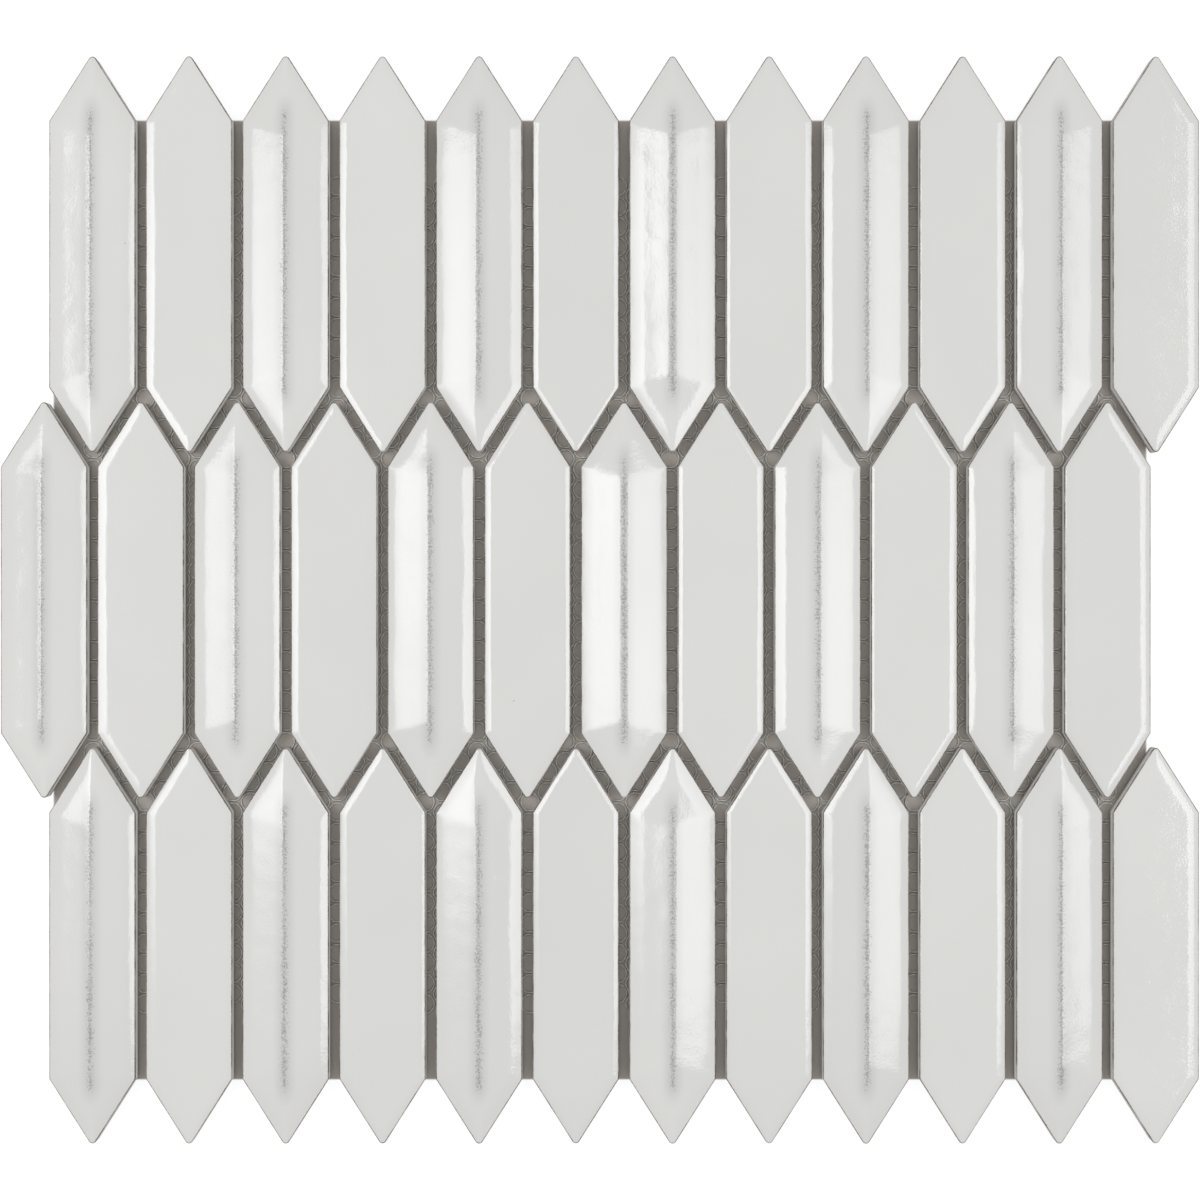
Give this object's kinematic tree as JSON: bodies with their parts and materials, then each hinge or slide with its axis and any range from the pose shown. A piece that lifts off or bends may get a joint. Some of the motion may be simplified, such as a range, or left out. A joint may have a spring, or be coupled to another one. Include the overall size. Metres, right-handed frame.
{
  "type": "mosaic tile sheet",
  "caption": "Picket mosaic sheet: long six-sided glazed porcelain chips, crested and flat by turns, in nested staggered rows on a backing net.",
  "frame": {"origin": "middle of the sheet, on the underside of the backing net", "axes": "+X across the columns of chips, +Y along the chips, +Z out of the glazed face"},
  "size_m": [0.3098, 0.2812, 0.0085],
  "materials": {
    "glazed_porcelain": "gloss warm white glaze",
    "backing_net": "knitted white yarn net"
  },
  "bodies": {
    "root": {"crested_tile_r1_c01": "glazed_porcelain", "flat_tile_r1_c02": "glazed_porcelain", "crested_tile_r1_c03": "glazed_porcelain", "flat_tile_r1_c04": "glazed_porcelain", "crested_tile_r1_c05": "glazed_porcelain", "flat_tile_r1_c06": "glazed_porcelain", "crested_tile_r1_c07": "glazed_porcelain", "flat_tile_r1_c08": "glazed_porcelain", "crested_tile_r1_c09": "glazed_porcelain", "flat_tile_r1_c10": "glazed_porcelain", "crested_tile_r1_c11": "glazed_porcelain", "flat_tile_r1_c12": "glazed_porcelain", "crested_tile_r2_c01": "glazed_porcelain", "flat_tile_r2_c02": "glazed_porcelain", "crested_tile_r2_c03": "glazed_porcelain", "flat_tile_r2_c04": "glazed_porcelain", "crested_tile_r2_c05": "glazed_porcelain", "flat_tile_r2_c06": "glazed_porcelain", "crested_tile_r2_c07": "glazed_porcelain", "flat_tile_r2_c08": "glazed_porcelain", "crested_tile_r2_c09": "glazed_porcelain", "flat_tile_r2_c10": "glazed_porcelain", "crested_tile_r2_c11": "glazed_porcelain", "flat_tile_r2_c12": "glazed_porcelain", "crested_tile_r3_c01": "glazed_porcelain", "flat_tile_r3_c02": "glazed_porcelain", "crested_tile_r3_c03": "glazed_porcelain", "flat_tile_r3_c04": "glazed_porcelain", "crested_tile_r3_c05": "glazed_porcelain", "flat_tile_r3_c06": "glazed_porcelain", "crested_tile_r3_c07": "glazed_porcelain", "flat_tile_r3_c08": "glazed_porcelain", "crested_tile_r3_c09": "glazed_porcelain", "flat_tile_r3_c10": "glazed_porcelain", "crested_tile_r3_c11": "glazed_porcelain", "flat_tile_r3_c12": "glazed_porcelain", "net_yarns_rising": "backing_net", "net_yarns_upright": "backing_net", "net_yarns_falling": "backing_net"}
  },
  "joints": []
}
